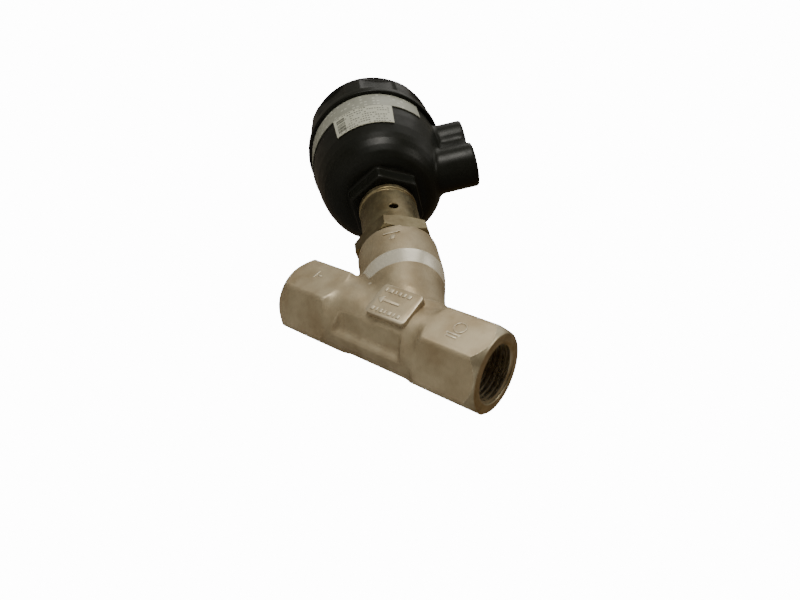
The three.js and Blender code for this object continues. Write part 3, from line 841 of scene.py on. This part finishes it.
def makeCover(form):
    top = [(26.5, 162), (25.9, 161.5), (16.2, 161.5), (15.6, 162)]
    whole = turned(form["outside"] + top + form["inside"], 240, closed=True, rounding=0.7)
    low, high = form["gripHeights"]
    for step in range(1, 44):
        height = low - 0.6 + step * (high - low + 1.8) / 44
        bmesh.ops.bisect_plane(whole, geom=whole.verts[:] + whole.edges[:] + whole.faces[:],
                               plane_co=(0, 0, height), plane_no=(0, 0, 1))
    for vert in whole.verts:
        x, y, z = vert.co
        around = math.hypot(x, y)
        if around < 30.4 or z < 143.2:
            continue
        for grip in range(form["gripCount"]):
            turn = form["firstGrip"] + grip * fullTurn / form["gripCount"]
            offset = (math.atan2(y, x) - turn + math.pi) % fullTurn - math.pi
            depth = around * math.cos(offset) - form["gripDistance"]
            if depth < 0 or abs(offset) > form["gripHalfAngle"] + 0.02:
                continue
            edge = 1 - smoothStep(abs(offset), form["gripHalfAngle"] - 0.022,
                                  form["gripHalfAngle"] + 0.016)
            ends = smoothStep(z, low - 0.1, low + 0.9) * (1 - smoothStep(z, high - 0.9, high + 0.1))
            newRadius = around - depth / math.cos(offset) * edge * ends
            vert.co.x, vert.co.y = x * newRadius / around, y * newRadius / around
    finishPiece("screw_cover", whole, blackPlastic, "actuator", ["cover"],
                sharp=50, weighted=False)


makeCover(coverForm)
print("cover made")


# A printed foil that follows the bowl's side between two angles from the pilot ports.
def wrapped(name, side, thickness, fromAngle, toAngle, material, node, steps):
    bm = bmesh.new()
    inner = [bm.verts.new((radius, 0, height)) for radius, height in side]
    outer = [bm.verts.new((radius + thickness, 0, height)) for radius, height in side]
    bm.faces.new(outer + inner[::-1])
    bmesh.ops.rotate(bm, verts=bm.verts, cent=(0, 0, 0),
                     matrix=Matrix.Rotation(math.radians(fromAngle), 3, "Z"))
    bmesh.ops.spin(bm, geom=bm.faces[:], cent=(0, 0, 0), axis=(0, 0, 1), dvec=(0, 0, 0),
                   angle=math.radians(toAngle - fromAngle), steps=steps, use_merge=False)
    bmesh.ops.recalc_face_normals(bm, faces=bm.faces)
    layer = bm.loops.layers.uv.new("label")
    low, high = side[0][1], side[-1][1]
    for face in bm.faces:
        for loop in face.loops:
            x, y, z = loop.vert.co
            angle = (math.degrees(math.atan2(y, x)) - fromAngle) % 360
            if angle > 355:
                angle = 0
            loop[layer].uv = (angle / (toAngle - fromAngle), (z - low) / (high - low))
    finishPiece(name, bm, material, "actuator", [node], weighted=False)


wrapped("band_foil", [(32, 124.3), (32, 137.4)], 0.3, -320, -40, bandFoil,
        "label_band", 140)
wrapped("type_foil", [(30.1, 109.6), (30.7, 114), (31.35, 118.3), (31.75, 121.5),
                      (32.05, 124)], 0.3, -118.5, -67, typeFoil,
        "type_label", 36)


# A coil spring: closed turns at both ends and an even pitch between them.
def coil(name, radius, wire, bottom, top, turns, body, node, steps=40):
    bm = bmesh.new()
    bmesh.ops.create_circle(bm, cap_ends=True, segments=12, radius=wire)
    stand = Matrix.Translation((radius, 0, bottom + wire)) @ Matrix.Rotation(math.pi / 2, 4, "X")
    bmesh.ops.transform(bm, matrix=stand, verts=bm.verts)
    last = bm.faces[:]
    closedPitch = wire * 2.04
    openPitch = (top - bottom - 2 * wire - 2 * closedPitch) / (turns - 2)
    for pitch, count in ((closedPitch, 1), (openPitch, turns - 2), (closedPitch, 1)):
        grown = bmesh.ops.spin(bm, geom=last, cent=(0, 0, 0), axis=(0, 0, 1),
                               dvec=(0, 0, pitch / steps), angle=fullTurn * count,
                               steps=steps * count, use_merge=False)["geom_last"]
        last = [g for g in grown if isinstance(g, bmesh.types.BMFace)]
    bmesh.ops.recalc_face_normals(bm, faces=bm.faces)
    return finishPiece(name, bm, springSteel, body, [node], weighted=False)


for name, radius, wire, turns, node in (("main_spring", 17.5, 1.6, 6, "outer_spring"),
                                        ("helper_spring", 11.2, 1.1, 8, "inner_spring")):
    spring = coil(name, radius, wire, 109.8, 157.7, turns, "actuator", node)
    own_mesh(spring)
coil("gland_spring", 6.5, 0.6, 51.7, 59.2, 4, "pipe_body", "packing_spring", 32)
print("foils and springs made")


def roundBead(middle, thickness, height):
    return [(middle + thickness * math.cos(k * fullTurn / 10),
             height + thickness * math.sin(k * fullTurn / 10)) for k in range(10)]


def vRing(bottom):
    return [(5.3, bottom), (6.5, bottom + 0.9), (7.7, bottom), (7.7, bottom + 1.6),
            (6.5, bottom + 2.5), (5.3, bottom + 1.6)]


# Turned pieces: the outline, whether it closes on itself, its finish, its body and its slot.
turnedPieces = {
    "body_gasket": (ringPoints(12.9, 13.9, 46.7, 47.6), True, graphite, "pipe_body", "graphite"),
    "packing_pressure_ring": ([(5.3, 40.3), (7.7, 40.3), (7.7, 42.5), (6.5, 43.4), (5.3, 42.5)],
                              True, neckSteel, "pipe_body", "turned_steel"),
    "packing_v_ring_1": (vRing(43), True, ptfe, "pipe_body", "ptfe"),
    "packing_v_ring_2": (vRing(45), True, ptfe, "pipe_body", "ptfe"),
    "packing_v_ring_3": (vRing(47), True, ptfe, "pipe_body", "ptfe"),
    "packing_support_ring": ([(5.3, 49), (6.5, 49.9), (7.7, 49), (7.7, 51.4), (5.3, 51.4)],
                             True, neckSteel, "pipe_body", "turned_steel"),
    "guide_bush": (ringPoints(5.3, 8, 82.9, 90), True, brass, "pipe_body", "brass_bush"),
    "spindle_lip_seal": ([(5.15, 90.3), (8, 90.3), (8, 93.6), (7.3, 93.6), (6.9, 91.8),
                          (6.3, 91.8), (5.8, 93.6), (5.15, 93.6)],
                         True, rubber, "pipe_body", "black_rubber"),
    "seal_retainer": (ringPoints(5.5, 8, 93.9, 95.4), True, neckSteel, "pipe_body",
                      "turned_steel"),
    "neck_o_ring": (roundBead(10.35, 0.8, 91.1), True, rubber, "pipe_body", "black_rubber"),
    "cover_o_ring": (roundBead(28.85, 0.65, 140.95), True, rubber, "actuator", "black_rubber"),
    "cap_o_ring": (roundBead(10.2, 0.6, 163.6), True, rubber, "actuator", "black_rubber"),
    "indicator_cap": ([(0, 174.8), (7.4, 174.8), (8.2, 174), (8.2, 166), (6.4, 165.4),
                       (6.4, 159.6), (7.6, 159.6), (7.6, 164.4), (11.6, 164.4), (11.6, 166.2),
                       (10.3, 167), (10, 174.2), (8.4, 176), (0, 176.2)],
                      False, clear, "actuator", "clear_plastic"),
    "piston": ([(6, 105), (24.4, 105), (24.7, 105.4), (24.7, 107), (22.3, 107), (22.3, 111),
                (24.7, 111), (24.7, 112.6), (23.6, 112.6), (23.6, 115.6), (24.7, 115.6),
                (24.7, 116.8), (21.2, 116.8), (21.2, 109.5), (8.4, 109.5), (8.4, 112.5),
                (4.35, 112.5), (4.35, 106.6), (6, 106.6)],
               True, greyPlastic, "spindle_assembly", "grey_plastic"),
    "piston_lip_seal": ([(22.55, 107.3), (23.1, 107.3), (23.5, 109.2), (24, 109.2),
                         (24.4, 107.3), (24.9, 107.3), (24.7, 110.7), (22.55, 110.7)],
                        True, rubber, "spindle_assembly", "black_rubber"),
    "piston_guide_ring": (ringPoints(23.8, 24.9, 112.8, 115.4), True, ptfe, "spindle_assembly",
                          "ptfe"),
    "piston_o_ring": (roundBead(4.95, 0.6, 105.6), True, rubber, "spindle_assembly",
                      "black_rubber"),
    "piston_washer": (ringPoints(4.3, 8, 112.8, 114.2), True, neckSteel, "spindle_assembly",
                      "turned_steel"),
    "plug_seal": (ringPoints(2.5, 8.7, 2.3, 5.2), True, ptfe, "spindle_assembly", "ptfe"),
    "plug_washer": ([(2.5, 0.6), (5.2, 0.6), (6.1, 2), (2.5, 2)], True, neckSteel,
                    "spindle_assembly", "turned_steel"),
    "position_indicator": ([(0, 121.3), (4, 121.3), (4, 124), (2.6, 125), (2.6, 158),
                            (4.6, 159), (4.6, 162), (3.6, 162.8), (0, 162.8)],
                           False, redPlastic, "spindle_assembly", "red_plastic"),
}
for node, (outline, closed, finish, body, slot) in turnedPieces.items():
    finishPiece("fine_" + node, turned(outline, 96, closed, 0.2), finish, body, [node])
print("turned pieces made")


# Pieces that are turned and then drilled, slotted or cut to a hexagon.
crossPin = Matrix.Translation((0, 0, 12.8)) @ Matrix.Rotation(math.pi / 2, 4, "X")
spindleRod = turned([(0, 9.6), (4.5, 9.6), (5, 10.1), (5, 104.4), (4.7, 104.7), (4, 104.7),
                     (4, 120.6), (3.6, 121), (0, 121)], 72)
plugDisc = turned([(0, -2.3), (2.2, -2.3), (2.2, 5.5), (9, 5.5), (9.3, 5.8), (9.3, 8.2), (8, 9.4),
                   (8, 16), (5.3, 16), (5.3, 9.3), (0, 9.3)], 72)
hole = disc(1.9, -12, 12, 32)
finishPiece("spindle_rod", combined(spindleRod, [moved(hole.copy(), crossPin)], "DIFFERENCE"),
            neckSteel, "spindle_assembly", ["spindle"])
finishPiece("seat_plug", combined(plugDisc, [moved(hole, crossPin)], "DIFFERENCE"),
            neckSteel, "spindle_assembly", ["plug"])
finishPiece("cross_pin", moved(disc(1.55, -7.6, 7.6, 32, 0.3), crossPin), springSteel,
            "spindle_assembly", ["plug_pin"])
snapRing = combined(turned(ringPoints(10.5, 13.2, 96.6, 97.7), 72, True, 0.15),
                    [box((8, -2, 96), (15, 2, 99))], "DIFFERENCE")
finishPiece("snap_ring", snapRing, springSteel, "pipe_body",
            ["neck_retaining_ring"])


def nut(name, flats, bottom, top, boreRadius, body, node, shank=None):
    corner = flats / math.sqrt(3) + 0.05
    chamfer = (corner - flats / 2) * 0.6
    outline = [(0, bottom), (corner - chamfer * 1.6, bottom), (corner, bottom + chamfer),
               (corner, top - chamfer), (corner - chamfer * 1.6, top), (0, top)]
    whole = combined(hexPrism(flats, bottom - 0.5, top + 0.5, edge=0.15),
                     [turned(outline, 72, rounding=0.1)], "INTERSECT")
    if shank:
        whole = combined(whole, [disc(*shank, rounding=0.3)], "UNION")
        top = max(top, shank[2])
    bore = turned([(0, bottom - 1), (boreRadius + 0.5, bottom - 1), (boreRadius + 0.5, bottom),
                   (boreRadius, bottom + 0.5), (boreRadius, top - 0.5), (boreRadius + 0.5, top),
                   (boreRadius + 0.5, top + 1), (0, top + 1)], 72, rounding=0.02)
    finishPiece(name, combined(whole, [bore], "DIFFERENCE"), neckSteel, body,
                [node])


nut("gland_nut", 17, 31.6, 35.4, 5.3, "pipe_body", "gland_screw", (7.7, 33, 40))
nut("top_nut", 13, 114.5, 120.4, 4.3, "spindle_assembly", "piston_nut")
nut("seal_nut", 7, -1.9, 0.3, 2.5, "spindle_assembly", "plug_nut")


# Threaded brass inserts in the pilot bosses.
for number, height in enumerate(bowl["portHeights"], 1):
    turnsIn = [(5.8 + 0.5 * (k % 2), 36.2 + 0.55 * k) for k in range(14)]
    outline = [(8, 35.1), (8, 44.3), (7.8, 44.5), (6.9, 44.5)] + turnsIn[::-1] + [(5.8, 35.1)]
    insert = alongPort(turned(outline, 64, closed=True, rounding=0.1), height)
    finishPiece(f"port_insert_{number}", insert, brass, "actuator",
                [f"pilot_insert_{number}"])
print("small pieces made")


# Camera, floor and lights.
cameraView = {
    "location": (0.11616, -0.14200, -0.09901),
    "turn": (132.868567, -34.76917566, 11.50750197),
    "lens": 27.0349,
    "shift": (-0.038728, -0.016100),
}
cameraData = bpy.data.cameras.new("camera")
cameraData.lens = cameraView["lens"]
cameraData.shift_x, cameraData.shift_y = cameraView["shift"]
cameraData.clip_start = 0.01
camera = bpy.data.objects.new("camera", cameraData)
camera.location = cameraView["location"]
camera.rotation_euler = [math.radians(turn) for turn in cameraView["turn"]]
bpy.context.scene.collection.objects.link(camera)
bpy.context.scene.camera = camera

lightPlan = {
    # name: direction it comes from, distance, size, watts, colour
    "key": ((0.03, -0.96, 0.20), 0.6, 0.26, 3.0, (1.0, 0.97, 0.90)),
    "top": ((-0.35, -0.35, 0.87), 0.7, 0.4, 0.5, (1.0, 0.98, 0.94)),
    "side": ((0.80, -0.45, 0.50), 0.6, 0.25, 0.75, (1.0, 0.96, 0.88)),
    "above": ((0.30, -0.15, 0.94), 0.9, 0.5, 0.6, (1.0, 0.98, 0.94)),
}
low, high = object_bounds()
middle = (low + high) / 2
for name, (way, distance, size, watts, colour) in lightPlan.items():
    data = bpy.data.lights.new(name, "AREA")
    data.shape = "DISK"
    data.size, data.energy, data.color = size, watts, colour
    lamp = bpy.data.objects.new(name, data)
    way = Vector(way).normalized()
    lamp.location = middle + way * distance
    lamp.rotation_euler = way.to_track_quat("Z", "Y").to_euler()
    bpy.context.scene.collection.objects.link(lamp)

floorBm = bmesh.new()
bmesh.ops.create_circle(floorBm, cap_ends=True, segments=96, radius=1.6)
bmesh.ops.translate(floorBm, verts=floorBm.verts, vec=(0, 0, -0.32))
floorMesh = bpy.data.meshes.new("floor")
floorBm.to_mesh(floorMesh)
floorBm.free()
floorMesh.materials.append(moulded("floorPaper", rgb(232, 231, 228), rgb(220, 219, 216), 0.7))
floor = bpy.data.objects.new("floor", floorMesh)
bpy.context.scene.collection.objects.link(floor)

worldLook = {"seen": 14.0, "above": (0.42, 0.40, 0.34, 1), "below": (0.36, 0.22, 0.09, 1),
             "strength": 0.5, "up": (-0.274, -0.75, 0.602), "blend": 0.7}
world = bpy.data.worlds.new("studio")
world.use_nodes = True
bpy.context.scene.world = world
tree = world.node_tree
tree.nodes.clear()
output = tree.nodes.new("ShaderNodeOutputWorld")
mix = tree.nodes.new("ShaderNodeMixShader")
path = tree.nodes.new("ShaderNodeLightPath")
seen = tree.nodes.new("ShaderNodeBackground")
lit = tree.nodes.new("ShaderNodeBackground")
coords = tree.nodes.new("ShaderNodeTexCoord")
dot = tree.nodes.new("ShaderNodeVectorMath")
ramp = tree.nodes.new("ShaderNodeMapRange")
blend = tree.nodes.new("ShaderNodeMix")
blend.data_type = "RGBA"
dot.operation = "DOT_PRODUCT"
dot.inputs[1].default_value = worldLook["up"]
ramp.inputs["From Min"].default_value = -worldLook["blend"]
ramp.inputs["From Max"].default_value = worldLook["blend"]
seen.inputs["Strength"].default_value = worldLook["seen"]
seen.inputs["Color"].default_value = (1, 1, 1, 1)
lit.inputs["Strength"].default_value = worldLook["strength"]
blend.inputs[6].default_value = worldLook["below"]
blend.inputs[7].default_value = worldLook["above"]
tree.links.new(coords.outputs["Generated"], dot.inputs[0])
tree.links.new(dot.outputs["Value"], ramp.inputs["Value"])
tree.links.new(ramp.outputs["Result"], blend.inputs[0])
tree.links.new(blend.outputs[2], lit.inputs["Color"])
tree.links.new(path.outputs["Is Camera Ray"], mix.inputs[0])
tree.links.new(lit.outputs[0], mix.inputs[1])
tree.links.new(seen.outputs[0], mix.inputs[2])
tree.links.new(mix.outputs[0], output.inputs["Surface"])
print("stage set")
